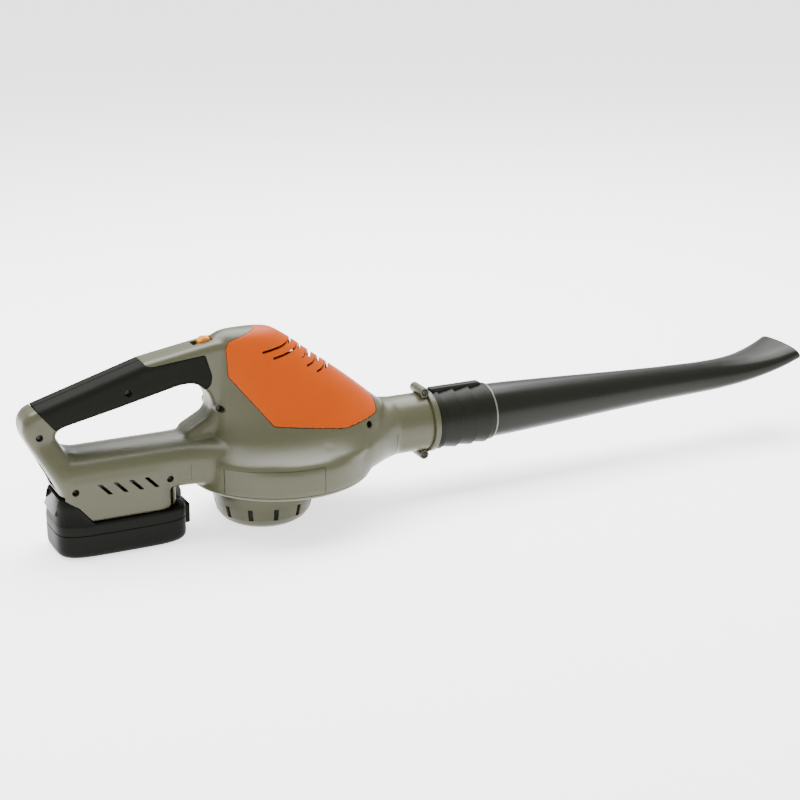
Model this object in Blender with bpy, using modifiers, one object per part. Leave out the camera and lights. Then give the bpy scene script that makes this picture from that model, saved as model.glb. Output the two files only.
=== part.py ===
"""Cordless leaf blower: clamshell housing, motor and fan, slide-on battery and blower tube.

Frame: metres, +X along the blower tube, +Z up. The origin is on the fan's axis, on the flat
base of the intake basket, which is level with the bottom of the battery.
"""
import math

import bmesh
import bpy
from mathutils import Matrix

MM = 0.001
GAP = 0.3 * MM            # clearance between pieces that touch
WALL = 2.8 * MM           # housing shell

TUBE_Z = 74.0 * MM        # height of the neck, collar and tube axis
NECK_R = 30.5 * MM
NECK_END = 180.0 * MM
FLANGE_R = 33.0 * MM
FLANGE_END = 186.0 * MM

VOLUTE_X = 18.0 * MM      # centre of the round fan case
VOLUTE_R = 95.0 * MM
VOLUTE_FLOOR = 41.0 * MM
PLATE_Z = 76.5 * MM       # motor plate, the roof of the fan chamber

HANDLE_HALF = 19.0 * MM
GRIP_SKIN = 2.6 * MM
DOCK_HALF = 34.0 * MM
DOCK_FLOOR = 36.0 * MM
BATTERY_HALF = 37.0 * MM
BATTERY_REAR = -219.0 * MM
BATTERY_FRONT = -89.0 * MM

SLIVER = 0.008 * MM       # shortest edge kept after a Boolean
FIN_AREA = 0.02 * MM * MM
SCREW_HEAD_R = 3.2 * MM
SCREW_SHANK_R = 1.6 * MM

OLIVE = (0.20, 0.185, 0.13)
ORANGE = (0.62, 0.12, 0.012)
BLACK = (0.022, 0.023, 0.017)
AMBER = (0.75, 0.30, 0.02)
STEEL = (0.55, 0.55, 0.56)

for old in list(bpy.data.objects):
    bpy.data.objects.remove(old, do_unlink=True)

parts = bpy.data.collections.new("leaf_blower")
bpy.context.scene.collection.children.link(parts)
cutters = bpy.data.collections.new("cutters")
bpy.context.scene.collection.children.link(cutters)


# ---- helpers ------------------------------------------------------------------------------

def paint(obj, color, roughness, metallic=0.0):
    """Give the object its own Principled material."""
    mat = bpy.data.materials.new(obj.name)
    mat.use_nodes = True
    shader = mat.node_tree.nodes["Principled BSDF"]
    shader.inputs["Base Color"].default_value = (*color, 1.0)
    shader.inputs["Roughness"].default_value = roughness
    shader.inputs["Metallic"].default_value = metallic
    obj.data.materials.clear()
    obj.data.materials.append(mat)
    return obj


def link(name, data, helper=False):
    """Wrap mesh or curve data in an object; a helper is a hidden Boolean operand."""
    obj = bpy.data.objects.new(name, data)
    (cutters if helper else parts).objects.link(obj)
    if helper:
        obj.hide_render = True
        obj.display_type = "WIRE"
    return obj


def mesh_object(name, bm, helper=False):
    """Finish a bmesh: merge doubles, point the faces outward and link it."""
    bmesh.ops.remove_doubles(bm, verts=bm.verts, dist=1e-6)
    bmesh.ops.recalc_face_normals(bm, faces=bm.faces)
    bmesh.ops.triangulate(bm, faces=bm.faces)
    mesh = bpy.data.meshes.new(name)
    bm.to_mesh(mesh)
    bm.free()
    return link(name, mesh, helper)


def box(name, low, high, helper=False, bevel=0.0):
    """Axis-aligned box between two corners, with optionally rounded edges."""
    bm = bmesh.new()
    bmesh.ops.create_cube(bm, size=1.0)
    size = [b - a for a, b in zip(low, high)]
    centre = [(a + b) / 2 for a, b in zip(low, high)]
    bmesh.ops.scale(bm, vec=size, verts=bm.verts)
    bmesh.ops.translate(bm, vec=centre, verts=bm.verts)
    if bevel:
        bmesh.ops.bevel(bm, geom=bm.edges[:], offset=bevel, segments=2, profile=0.5,
                        affect="EDGES", clamp_overlap=True)
    return mesh_object(name, bm, helper)


def rod(name, start, axis, radius, length, segments=24, helper=False, end_radius=None):
    """Cylinder or cone from a start point along +X, +Y or +Z."""
    bm = bmesh.new()
    tip = radius if end_radius is None else end_radius
    bmesh.ops.create_cone(bm, cap_ends=True, segments=segments, radius1=radius, radius2=tip,
                          depth=length)
    bmesh.ops.translate(bm, vec=(0, 0, length / 2), verts=bm.verts)
    bmesh.ops.rotate(bm, matrix=bpy_rotation(math.pi / segments, "Z"), verts=bm.verts)
    turn = {"X": (math.pi / 2, "Y"), "Y": (-math.pi / 2, "X"), "Z": (0.0, "Z")}[axis]
    rotation = bpy_rotation(turn[0], turn[1])
    bmesh.ops.rotate(bm, matrix=rotation, verts=bm.verts)
    bmesh.ops.translate(bm, vec=start, verts=bm.verts)
    return mesh_object(name, bm, helper)


def bpy_rotation(angle, axis):
    """3 x 3 rotation about a world axis."""
    return Matrix.Rotation(angle, 3, axis)


def lathe(name, profile, centre=(0, 0), steps=40, helper=False):
    """Turn an (r, z) profile about the vertical axis with a Screw modifier."""
    mesh = bpy.data.meshes.new(name)
    bm = bmesh.new()
    verts = [bm.verts.new((r, 0, z)) for r, z in profile]
    on_axis = profile[0][0] == 0
    for a, b in zip(verts, verts[1:] + ([] if on_axis else verts[:1])):
        bm.edges.new((a, b))
    bm.to_mesh(mesh)
    bm.free()
    obj = link(name, mesh, helper)
    obj.location = (centre[0], centre[1], 0)
    obj.rotation_euler = (0, 0, math.pi / steps)
    screw = obj.modifiers.new("Screw", "SCREW")
    screw.steps = steps
    screw.render_steps = steps
    screw.use_merge_vertices = True
    screw.merge_threshold = 1e-5
    return obj


def plate(name, outline, low, high, plane="XZ", rounding=0.0, helper=False):
    """Extrude a flat outline between two depths, with its rims rounded off.

    The outline is in X and Z and runs along Y, or in X and Y and runs along Z.
    """
    curve = bpy.data.curves.new(name, "CURVE")
    curve.dimensions = "2D"
    curve.fill_mode = "BOTH"
    spline = curve.splines.new("POLY")
    spline.points.add(len(outline) - 1)
    for point, (u, v) in zip(spline.points, outline):
        point.co = (u, v, 0, 1)
    spline.use_cyclic_u = True
    curve.extrude = (high - low) / 2 - rounding
    curve.bevel_depth = rounding
    curve.offset = -rounding
    curve.bevel_resolution = 1
    source = bpy.data.objects.new(name, curve)
    bpy.context.scene.collection.objects.link(source)
    depsgraph = bpy.context.evaluated_depsgraph_get()
    mesh = bpy.data.meshes.new_from_object(source.evaluated_get(depsgraph))
    bpy.data.objects.remove(source, do_unlink=True)
    bm = bmesh.new()
    bm.from_mesh(mesh)
    middle = (low + high) / 2
    if plane == "XZ":
        bmesh.ops.rotate(bm, matrix=bpy_rotation(math.pi / 2, "X"), verts=bm.verts)
        bmesh.ops.translate(bm, vec=(0, middle, 0), verts=bm.verts)
    else:
        bmesh.ops.translate(bm, vec=(0, 0, middle), verts=bm.verts)
    return mesh_object(name, bm, helper)


def loft(name, rings, helper=False):
    """Skin a list of closed rings, each a list of points, and cap both ends."""
    bm = bmesh.new()
    loops = []
    for ring in rings:
        verts = [bm.verts.new(p) for p in ring]
        loops.append([bm.edges.new((a, b)) for a, b in zip(verts, verts[1:] + verts[:1])])
    for lower, upper in zip(loops, loops[1:]):
        bmesh.ops.bridge_loops(bm, edges=lower + upper)
    for loop in (loops[0], loops[-1]):
        bmesh.ops.contextual_create(bm, geom=loop)
    return mesh_object(name, bm, helper)


def oval(centre, half_a, half_b, plane, power=2.0, count=24):
    """Points of a superellipse in a level plane (XY) or across the tube (YZ)."""
    ring = []
    for k in range(count):
        angle = 2 * math.pi * (k + 0.5) / count
        c, s = math.cos(angle), math.sin(angle)
        a = half_a * math.copysign(abs(c) ** (2 / power), c)
        b = half_b * math.copysign(abs(s) ** (2 / power), s)
        x, y, z = centre
        ring.append((x + a, y + b, z) if plane == "XY" else (x, y + a, z + b))
    return ring


def tube(name, points, radius, helper=False, resolution=2):
    """Round wire along a poly line, with filled ends."""
    curve = bpy.data.curves.new(name, "CURVE")
    curve.dimensions = "3D"
    curve.bevel_depth = radius
    curve.bevel_resolution = resolution
    curve.use_fill_caps = True
    spline = curve.splines.new("POLY")
    spline.points.add(len(points) - 1)
    for point, co in zip(spline.points, points):
        point.co = (*co, 1)
    source = bpy.data.objects.new(name, curve)
    bpy.context.scene.collection.objects.link(source)
    depsgraph = bpy.context.evaluated_depsgraph_get()
    mesh = bpy.data.meshes.new_from_object(source.evaluated_get(depsgraph))
    bpy.data.objects.remove(source, do_unlink=True)
    bm = bmesh.new()
    bm.from_mesh(mesh)
    return mesh_object(name, bm, helper)


def combine(obj, operand, operation):
    """Add one exact Boolean modifier."""
    boolean = obj.modifiers.new(operand.name, "BOOLEAN")
    boolean.object = operand
    boolean.operation = operation
    boolean.solver = "EXACT"
    return obj


def join(obj, *operands):
    for operand in operands:
        combine(obj, operand, "UNION")
    return obj


def cut(obj, *operands):
    for operand in operands:
        combine(obj, operand, "DIFFERENCE")
    return obj


def keep(obj, operand):
    return combine(obj, operand, "INTERSECT")


def settle(obj, merge_flats=True):
    """Apply the modifiers, then mend slivers and merge the flat areas that Booleans break up."""
    bpy.context.view_layer.update()
    depsgraph = bpy.context.evaluated_depsgraph_get()
    mesh = bpy.data.meshes.new_from_object(obj.evaluated_get(depsgraph))
    bm = bmesh.new()
    bm.from_mesh(mesh)
    bmesh.ops.remove_doubles(bm, verts=bm.verts, dist=SLIVER)
    bmesh.ops.dissolve_degenerate(bm, dist=SLIVER, edges=bm.edges)
    if merge_flats:
        bmesh.ops.dissolve_limit(bm, angle_limit=math.radians(1.0), verts=bm.verts, edges=bm.edges)
    bmesh.ops.triangulate(bm, faces=bm.faces)
    bmesh.ops.remove_doubles(bm, verts=bm.verts, dist=SLIVER)
    bmesh.ops.dissolve_degenerate(bm, dist=SLIVER, edges=bm.edges)
    fins = {face for edge in bm.edges if len(edge.link_faces) > 2
            for face in edge.link_faces if face.calc_area() < FIN_AREA}
    bmesh.ops.delete(bm, geom=list(fins), context="FACES")
    loose = [edge for edge in bm.edges if not edge.link_faces]
    bmesh.ops.delete(bm, geom=loose, context="EDGES")
    open_edges = [edge for edge in bm.edges if edge.is_boundary]
    bmesh.ops.holes_fill(bm, edges=open_edges, sides=8)
    bmesh.ops.triangulate(bm, faces=bm.faces)
    bm.to_mesh(mesh)
    bm.free()
    obj.modifiers.clear()
    obj.data = mesh
    return obj


def mm(points):
    """Millimetre pairs to metres."""
    return [(a * MM, b * MM) for a, b in points]


# ---- outer form of the housing ---------------------------------------------------------------

# Level sections of the upper body: height, rear x, front x, half width.
BODY_SECTIONS = (
    (66, -70, 104, 82), (77, -72, 110, 89), (80.5, -71, 112, 87), (85, -68, 117, 79),
    (91, -65, 124, 70), (98, -61, 128, 62.5), (107, -58, 127, 57), (114, -57, 119, 53.5),
    (137, -55, 92, 45), (153, -54, 71.5, 38.5), (170, -54, 49, 31), (185, -54, 30, 23.5),
    (193, -51, 18.5, 18), (198, -44, 9, 11), (199.6, -36, 0, 6),
)

# Cross sections of the throat between fan case and neck: x, half width, half height, centre z.
THROAT_SECTIONS = (
    (40, 80, 32.5, 72), (85, 65, 32.5, 72), (108, 47, 32, 72.5), (125, 35.5, 31, 73.5),
    (140, 30.4, 30.4, 74),
)


def body_form(name, inset, low=0.0, high=1.0):
    rings = []
    for z, rear, front, half in BODY_SECTIONS:
        z, rear, front, half = z * MM, rear * MM + inset, front * MM - inset, half * MM - inset
        if low <= z <= high and half > 2 * MM:
            centre = ((rear + front) / 2, 0, z - inset * (z > 0.19))
            rings.append(oval(centre, (front - rear) / 2, half, "XY", power=2.4))
    return loft(name, rings, helper=True)


def throat_form(name, inset):
    rings = [oval((x * MM, 0, zc * MM), half * MM - inset, tall * MM - inset, "YZ", power=2.2)
             for x, half, tall, zc in THROAT_SECTIONS]
    return loft(name, rings, helper=True)


def volute_form(name, inset):
    r, floor, roof = VOLUTE_R - inset, VOLUTE_FLOOR + inset, 83 * MM - inset
    profile = [(0, roof), (r - 14 * MM, roof), (r - 6 * MM, roof - 2 * MM), (r - 1 * MM, roof - 7 * MM),
               (r, roof - 12 * MM), (r, floor + 10 * MM), (r - 2.5 * MM, floor + 6 * MM),
               (r - 8 * MM, floor + 3 * MM), (r - 38 * MM, floor), (0, floor)]
    return lathe(name, profile, centre=(VOLUTE_X, 0), steps=36, helper=True)


# Handle loop seen from the side: outside from the rear foot forward, then round the opening.
LOOP_OUTLINE = mm((
    (-206, 58), (-215, 68), (-241.5, 120), (-244, 129), (-242.5, 138), (-237, 145), (-229, 148.5),
    (-123, 180.5), (-73, 189), (-52, 192.4), (-34, 192.4), (-34, 72), (-84, 72), (-84, 105.5),
    (-60.5, 118), (-56.6, 124), (-56, 131), (-58.5, 139), (-64, 146.5), (-70, 151),
    (-77.5, 153.2), (-89, 152.6), (-152, 138.2), (-205, 127), (-210.5, 124), (-213.3, 118.5),
    (-212.5, 112), (-206, 105), (-190, 100), (-190, 58),
))
DOCK_OUTLINE = [(-214 * MM, -22 * MM), (-212 * MM, -30 * MM), (-204 * MM, -DOCK_HALF)]
DOCK_OUTLINE += [(-120.7 * MM + 24 * MM * math.sin(a), -10 * MM - 24 * MM * math.cos(a))
                 for a in (math.radians(15 * k) for k in range(7))]
DOCK_OUTLINE += [(x, -y) for x, y in reversed(DOCK_OUTLINE)]
BAR_SECTION = ((0, 102.5), (9, 101.6), (18, 98.8), (26, 95), (31, 90.5), (33.2, 84), (33.2, 64),
               (30, 57.5), (24, 55), (0, 55))


def bar_form(name, rear, front, inset):
    half = [(y * MM - inset if y else 0.0, (z - 78) * MM * (1 - inset / (24 * MM)) + 78 * MM)
            for y, z in BAR_SECTION]
    ring = half + [(-y, z) for y, z in reversed(half[1:-1])]
    return loft(name, [[(x, y, z) for y, z in ring] for x in (rear, front)], helper=True)


def strut_form(name, inset):
    """Rear strut, widening from the handle down to the dock."""
    rings = []
    for z, rear, front, half in ((62, -213, -186, 32), (75, -218.5, -188, 32), (88, -225, -196, 29),
                                 (98, -230, -201, 25.5), (108, -235, -206, 21.5), (119, -239, -212, 18)):
        centre = ((rear + front) * MM / 2, 0, z * MM)
        rings.append(oval(centre, (front - rear) * MM / 2 - inset, half * MM - inset, "XY", 4.5, 24))
    return loft(name, rings, helper=True)


def dock_block():
    block = plate("form_dock", DOCK_OUTLINE, DOCK_FLOOR, 78 * MM, plane="XY", helper=True)
    rear_slope = plate("form_dock_slope", mm(((-230, 30), (-185.5, 30), (-185.5, 36), (-199, 52.5),
                                              (-211.5, 60.5), (-230, 66))),
                       -60 * MM, 60 * MM, helper=True)
    return block, rear_slope


outer = volute_form("form_outer", 0.0)
dock, dock_slope = dock_block()
join(outer, body_form("form_body", 0.0), throat_form("form_throat", 0.0),
     rod("form_neck", (60 * MM, 0, TUBE_Z), "X", NECK_R, NECK_END - 59 * MM, 28, True),
     plate("form_loop", LOOP_OUTLINE, -HANDLE_HALF, HANDLE_HALF, rounding=7 * MM, helper=True),
     bar_form("form_bar", -209 * MM, -40 * MM, 0.0), strut_form("form_strut", 0.0), dock,
     rod("form_flange", (NECK_END, 0, TUBE_Z), "X", FLANGE_R, FLANGE_END - NECK_END, 28, True),
     rod("form_lug_top", (176 * MM, -13 * MM, 108.3 * MM), "Y", 5.0 * MM, 26 * MM, 12, True),
     rod("form_lug_low", (176 * MM, -13 * MM, 40.6 * MM), "Y", 5.0 * MM, 26 * MM, 12, True))
cut(outer, dock_slope)
settle(outer)

# ---- hollow inside the housing ------------------------------------------------------------------

HANDLE_DUCT = mm(((-224, 66), (-229, 100), (-236, 128), (-231, 139), (-120, 170), (-70, 180), (-44, 180),
                  (-44, 100), (-52, 100), (-49, 131), (-56, 151), (-78, 160), (-152, 147),
                  (-216, 133), (-221, 120), (-214, 100), (-200, 90), (-200, 66)))
hollow = volute_form("hollow", WALL)
join(hollow, body_form("hollow_body", WALL, low=70 * MM, high=0.194), throat_form("hollow_throat", WALL),
     rod("hollow_neck", (60 * MM, 0, TUBE_Z), "X", 27.5 * MM, 140 * MM, 28, True),
     plate("hollow_handle", HANDLE_DUCT, -11 * MM, 11 * MM, helper=True),
     bar_form("hollow_bar", -206.5 * MM, -50 * MM, WALL),
     rod("hollow_intake", (0, 0, 30 * MM), "Z", 52.3 * MM, 30 * MM, 36, True),
     box("hollow_dock", (-240 * MM, -30 * MM, 20 * MM), (-104 * MM, 30 * MM, 64 * MM), True))

settle(hollow)

# ---- cover window, grip recess and switch opening ---------------------------------------------------

COVER_OUTLINE = mm(((-5, 215), (-6, 199.6), (-41, 190.5), (-45.5, 183), (-46, 158), (-33, 142),
                    (-5, 109.5), (4, 105.5), (64, 99.5), (80, 99.5), (106, 106), (113, 112), (117, 130),
                    (60, 215)))
GRIP_OUTLINE = mm(((-233, 152), (-211.5, 125), (-190, 120), (-75, 140), (-64.5, 143.5), (-58.5, 151),
                   (-57, 160), (-63.5, 182), (-118, 176.3), (-123, 178), (-125.5, 195)))


def grown(outline, amount):
    """The outline moved outward from its own centre by a small amount."""
    cx = sum(x for x, z in outline) / len(outline)
    cz = sum(z for x, z in outline) / len(outline)
    result = []
    for x, z in outline:
        reach = math.hypot(x - cx, z - cz)
        result.append((x + (x - cx) / reach * amount, z + (z - cz) / reach * amount))
    return result


cover_window = plate("cover_window", grown(COVER_OUTLINE, 1.2 * GAP), -0.12, 0.12, helper=True)


def handle_form(name, inset):
    """The handle loop shrunk by an inset, for the seat and the underside of the soft grips."""
    core = plate(name, LOOP_OUTLINE, -HANDLE_HALF + inset, HANDLE_HALF - inset, rounding=6 * MM,
                 helper=True)
    shrink = core.modifiers.new("Shrink", "DISPLACE")
    shrink.strength = -inset
    shrink.mid_level = 0.0
    return core


grip_recess = plate("grip_recess", grown(GRIP_OUTLINE, GAP), -0.05, 0.05, helper=True)
cut(grip_recess, handle_form("grip_seat", GRIP_SKIN))
grip_underside = handle_form("grip_underside", GRIP_SKIN - GAP)
switch_hole = box("switch_hole", (-70.6 * MM, -6 * MM, 170 * MM), (-50.5 * MM, 6 * MM, 210 * MM), True)

# ---- screws through the clamshell ---------------------------------------------------------------------

# name: x, z, distance of the head's seat from the centre plane, half length of its post
SCREWS = {
    "screw_handle_rear": (-229, 122.5, 13.5, 16.5), "screw_grip": (-141, 154, 12.5, 14.5),
    "screw_front_strut": (-50.5, 126.5, 16.0, 18.5), "screw_dock_rear": (-201.6, 68.4, 27.0, 32.4),
    "screw_dock_front": (-108, 67, 27.0, 32.0), "screw_body_front": (94.7, 97.9, 33.0, 48.0),
    "screw_lug_top": (176, 108.3, 10.5, 0), "screw_lug_low": (176, 40.6, 10.5, 0),
}


def screw_piece(name, grow=0.0, helper=False):
    """Pan-head screw along Y: head on the near side, shank across the split."""
    x, z, seat, post = SCREWS[name]
    access = 40 * MM if helper else 0.0
    label = name + ("_bore" if helper else "")
    head = rod(label, (x * MM, -seat * MM - access - grow, z * MM), "Y", SCREW_HEAD_R + grow,
               2.4 * MM + access + 2 * grow, 12, helper)
    shank = rod(label + "_shank", (x * MM, -seat * MM + 2.0 * MM, z * MM), "Y",
                SCREW_SHANK_R + grow, seat * MM + 5 * MM + grow, 8, True)
    return join(head, shank)


posts = []
for screw_name, (x, z, seat, reach) in SCREWS.items():
    if reach:
        posts.append(rod("post_" + screw_name, (x * MM, -reach * MM, z * MM), "Y", 5.3 * MM,
                         2 * reach * MM, 12, True))
bores = [screw_piece(screw_name, GAP, True) for screw_name in SCREWS]

# ---- housing halves ----------------------------------------------------------------------------------------

vents = [plate("dock_vent_%d" % k, mm([(x + 15.4 * k, z) for x, z in
                                      ((-180, 73), (-175.5, 73), (-165, 61.5), (-170, 61.5))]),
               -0.05, 0.05, helper=True) for k in range(4)]


shell = plate("form_shell", mm(((-260, 20), (200, 20), (200, 220), (-260, 220))), -0.11, 0.11, helper=True)
keep(shell, outer)
cut(shell, hollow)
join(shell, *posts)
cut(shell, cover_window, grip_recess, switch_hole, *vents)
settle(shell)


def housing_half(name, side):
    low, high = sorted((side * GAP / 2, side * 120 * MM))
    half = box(name, (-270 * MM, low, 10 * MM), (210 * MM, high, 230 * MM))
    keep(half, shell)
    cut(half, *bores)
    return paint(settle(half, merge_flats=False), OLIVE, 0.42)


housing_left = housing_half("housing_left", 1)
housing_right = housing_half("housing_right", -1)

motor_cover = plate("motor_cover", COVER_OUTLINE, -0.11, 0.11)
keep(motor_cover, outer)
cut(motor_cover, body_form("cover_hollow", 0.95 * WALL, low=80 * MM))
for k in range(5):
    top = (29 + 10 * k, 184 - 8.2 * k)
    reach = (30, 29, 10, 12, 11)[k]
    louvre = plate("louvre_%d" % k, mm(((top[0] + 6, top[1] + 2.6), (top[0] - reach, top[1] - 3),
                                        (top[0] - reach, top[1] - 4.6), (top[0] + 6, top[1] + 0.8))),
                   -0.05, 0.05, helper=True)
    cut(motor_cover, louvre)
cut(motor_cover, bores[5])
paint(settle(motor_cover), ORANGE, 0.38)

for side, name in ((1, "grip_left"), (-1, "grip_right")):
    low, high = sorted((side * GAP / 2, side * 40 * MM))
    grip = plate(name, GRIP_OUTLINE, low, high)
    keep(grip, outer)
    cut(grip, grip_underside, bores[1])
    paint(settle(grip), BLACK, 0.75)


# ---- intake -----------------------------------------------------------------------------------

GRILLE_PROFILE = mm(((0, 2.6), (33, 2.6), (41, 6.8), (44.6, 12), (47.4, 21), (49, 31), (49.4, 45.4),
                     (52, 45.4), (51.8, 38), (51.5, 31), (50, 21), (47.2, 11), (43, 5), (37, 1), (34, 0),
                     (0, 0)))
SLOT_COUNT = 12
SLOT_PHASE = math.radians(-6.5)


def ring_of_boxes(name, count, phase, low, high, lean=0.0):
    """Equal boxes round the fan's axis, each leaning from the radius by an angle."""
    bm = bmesh.new()
    size = [b - a for a, b in zip(low, high)]
    centre = [(a + b) / 2 for a, b in zip(low, high)]
    for k in range(count):
        made = bmesh.ops.create_cube(bm, size=1.0)["verts"]
        bmesh.ops.scale(bm, vec=size, verts=made)
        bmesh.ops.rotate(bm, matrix=bpy_rotation(lean, "Z"), verts=made, cent=(-size[0] / 2, 0, 0))
        bmesh.ops.translate(bm, vec=centre, verts=made)
        bmesh.ops.rotate(bm, matrix=bpy_rotation(phase + 2 * math.pi * k / count, "Z"), verts=made,
                         cent=(0, 0, 0))
    return mesh_object(name, bm, helper=True)


grille = lathe("intake_grille", GRILLE_PROFILE, steps=24)
cut(grille, ring_of_boxes("grille_slots", SLOT_COUNT, SLOT_PHASE, (40 * MM, -2.4 * MM, 11 * MM),
                          (56 * MM, 2.4 * MM, 23.5 * MM)))
paint(grille, OLIVE, 0.45)

inlet_ring = lathe("inlet_ring", mm(((32, 45.8), (30.5, 47.8), (52, 47.8), (52, 45.8))), steps=28)
paint(inlet_ring, BLACK, 0.5)

# ---- collar and blower tube ---------------------------------------------------------------------

COLLAR_PROFILE = ((168, 27.2), (186.3, 27.2), (186.3, 30.3), (193, 31.6), (193.4, 30.2), (211.4, 32),
                  (211.8, 30.2), (229.4, 32), (229.8, 30.2), (245.8, 31.8), (246.2, 29.9), (254, 30.2),
                  (254, 28.9), (190, 28.9), (190, 25.6), (168, 25.6))


def ring_x(x, centre_z, half_width, half_height, tilt, count=20):
    """Oval across the tube, leaning back by the tilt as the tube bends up."""
    points = oval((0, 0, 0), half_width, half_height, "YZ", 2.0, count)
    return [(x * MM - w * math.sin(tilt), y, centre_z * MM + w * math.cos(tilt)) for _, y, w in points]


collar = lathe("tube_collar", [(r * MM, x * MM) for x, r in reversed(COLLAR_PROFILE)], steps=28)
collar.rotation_euler = (0, math.pi / 2, 0)
collar.location = (0, 0, TUBE_Z)
rib = box("collar_rib", (-34.5 * MM, -4.5 * MM, 187 * MM), (-29.5 * MM, 4.5 * MM, 246 * MM), True)
rib.rotation_euler = collar.rotation_euler
rib.location = collar.location
join(collar, rib)
paint(settle(collar), BLACK, 0.6)

# x, centre z, half width, half height, tilt in degrees
TUBE_STATIONS = (
    (192.5, 74, 28.5, 28.5, 0), (256, 74, 28.4, 28.4, 0), (322, 74, 25.9, 25.9, 0),
    (374, 74, 23.4, 23.4, 0), (427, 74, 20.7, 20.7, 0), (481, 74, 18.5, 18.5, 0),
    (520, 74, 18.4, 17.3, 1), (545, 74.6, 19.6, 16.5, 3), (565, 76, 22, 15.4, 6),
    (585, 78.6, 25.2, 14.1, 11), (603, 82.5, 28.6, 12.6, 16), (621, 87.8, 32, 11, 22),
    (639, 95, 35, 9.5, 27),
)
TUBE_WALL = 1.8
blower_tube = loft("blower_tube", [ring_x(x, z, b * MM, c * MM, math.radians(t))
                                   for x, z, b, c, t in TUBE_STATIONS])
bore_stations = [(x, z, b - TUBE_WALL, c - TUBE_WALL, t) for x, z, b, c, t in TUBE_STATIONS]
x, z, b, c, t = bore_stations[0]
bore_stations.insert(0, (x - 5, z, b, c, t))
x, z, b, c, t = bore_stations[-1]
bore_stations.append((x + 6, z + 3.1, b + 1, c, t))
cut(blower_tube, loft("tube_bore", [ring_x(x, z, b * MM, c * MM, math.radians(t))
                                    for x, z, b, c, t in bore_stations], helper=True))
paint(settle(blower_tube), BLACK, 0.4)

# ---- motor and fan ----------------------------------------------------------------------------------

SHAFT_R = 2.5 * MM
motor_plate = rod("motor_plate", (VOLUTE_X, 0, PLATE_Z), "Z", 82.0 * MM, 2.5 * MM, 40)
cut(motor_plate, rod("plate_hole", (0, 0, 60 * MM), "Z", 7 * MM, 40 * MM, 20, True))
paint(settle(motor_plate), OLIVE, 0.5)

motor_can = lathe("motor_can", mm(((5, 79.3), (5, 81), (22.4, 81), (22.4, 138), (24, 138), (24, 79.3))),
                  steps=24)
paint(motor_can, STEEL, 0.35, 1.0)
magnet_ring = lathe("magnet_ring", mm(((20.8, 90), (20.8, 128), (22.1, 128), (22.1, 90))), steps=24)
paint(magnet_ring, (0.05, 0.05, 0.055), 0.5, 0.6)
end_cap = lathe("motor_end_cap", mm(((3.2, 138.3), (3.2, 141), (6.8, 141), (6.8, 147), (8.6, 147),
                                     (8.6, 141.6), (24, 141.6), (24, 138.3))), steps=24)
paint(end_cap, (0.03, 0.03, 0.035), 0.5)
for name, z in (("bearing_lower", 81.3), ("bearing_upper", 141.4)):
    bearing = lathe(name, mm(((2.6, z), (2.6, z + 4.4), (6.5, z + 4.4), (6.5, z))), steps=20)
    paint(bearing, STEEL, 0.25, 1.0)

motor_shaft = rod("motor_shaft", (0, 0, 46 * MM), "Z", SHAFT_R, 103 * MM, 24)
paint(motor_shaft, STEEL, 0.2, 1.0)
rotor_core = lathe("rotor_core", mm(((2.8, 92), (2.8, 126), (19.8, 126), (19.8, 92))), steps=24)
paint(rotor_core, (0.45, 0.25, 0.12), 0.4, 0.8)
commutator = lathe("commutator", mm(((2.8, 129), (2.8, 137), (6.5, 137), (6.5, 129))), steps=24)
paint(commutator, (0.72, 0.36, 0.2), 0.3, 1.0)
for name, side in (("brush_front", 1), ("brush_rear", -1)):
    low, high = sorted((side * 7.0 * MM, side * 14.0 * MM))
    paint(box(name, (low, -2 * MM, 130.5 * MM), (high, 2 * MM, 135.5 * MM)), (0.03, 0.03, 0.03), 0.6)

BLADE_COUNT = 11
impeller = lathe("impeller", mm(((2.8, 52), (2.8, 75), (12, 74), (62, 74), (62, 72), (12, 72), (9, 66),
                                 (9, 52))), steps=30)
join(impeller, ring_of_boxes("blades", BLADE_COUNT, 0.0, (19 * MM, -0.8 * MM, 54 * MM),
                             (60 * MM, 0.8 * MM, 73 * MM), math.radians(28)))
paint(settle(impeller), BLACK, 0.45)
impeller_nut = rod("impeller_nut", (0, 0, 47.5 * MM), "Z", 4.6 * MM, 4.2 * MM, 6)
cut(impeller_nut, rod("nut_hole", (0, 0, 40 * MM), "Z", 2.8 * MM, 20 * MM, 12, True))
paint(impeller_nut, STEEL, 0.3, 1.0)

# ---- switch ---------------------------------------------------------------------------------------------

switch_slider = plate("switch_slider", mm(((-64, 185), (-60.5, 185), (-60.5, 172), (-57, 172), (-57, 185),
                                           (-52.6, 185), (-52.6, 194.6), (-59.5, 195.4), (-64, 191.6))),
                      -5.2 * MM, 5.2 * MM)
paint(switch_slider, AMBER, 0.35)
switch_body = box("switch_body", (-72 * MM, -8 * MM, 161.5 * MM), (-47 * MM, 8 * MM, 171.4 * MM))
paint(switch_body, (0.02, 0.02, 0.02), 0.5)

# ---- battery dock, terminals, board and leads ---------------------------------------------------------------

dock_rail = box("dock_rail", (-198 * MM, -29.6 * MM, 44 * MM), (-119.6 * MM, 29.6 * MM, 58 * MM))
cut(dock_rail, box("rail_neck", (-210 * MM, -19.5 * MM, 40 * MM), (-100 * MM, 19.5 * MM, 55.5 * MM), True),
    box("rail_groove", (-210 * MM, -24.5 * MM, 47.2 * MM), (-100 * MM, 24.5 * MM, 55.4 * MM), True),
    plate("rail_slope", mm(((-215, 30), (-184.5, 36), (-198.5, 54), (-215, 64))), -0.05, 0.05,
          helper=True))
paint(settle(dock_rail), BLACK, 0.4)
front_clip = box("dock_front_clip", (-96.4 * MM, -9 * MM, 36.5 * MM), (-89.5 * MM, 9 * MM, 49.5 * MM),
                 bevel=1.5 * MM)
paint(front_clip, BLACK, 0.15)
terminal_block = box("terminal_block", (-118.5 * MM, -17 * MM, 44 * MM), (-104.4 * MM, 17 * MM, 56 * MM))
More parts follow.
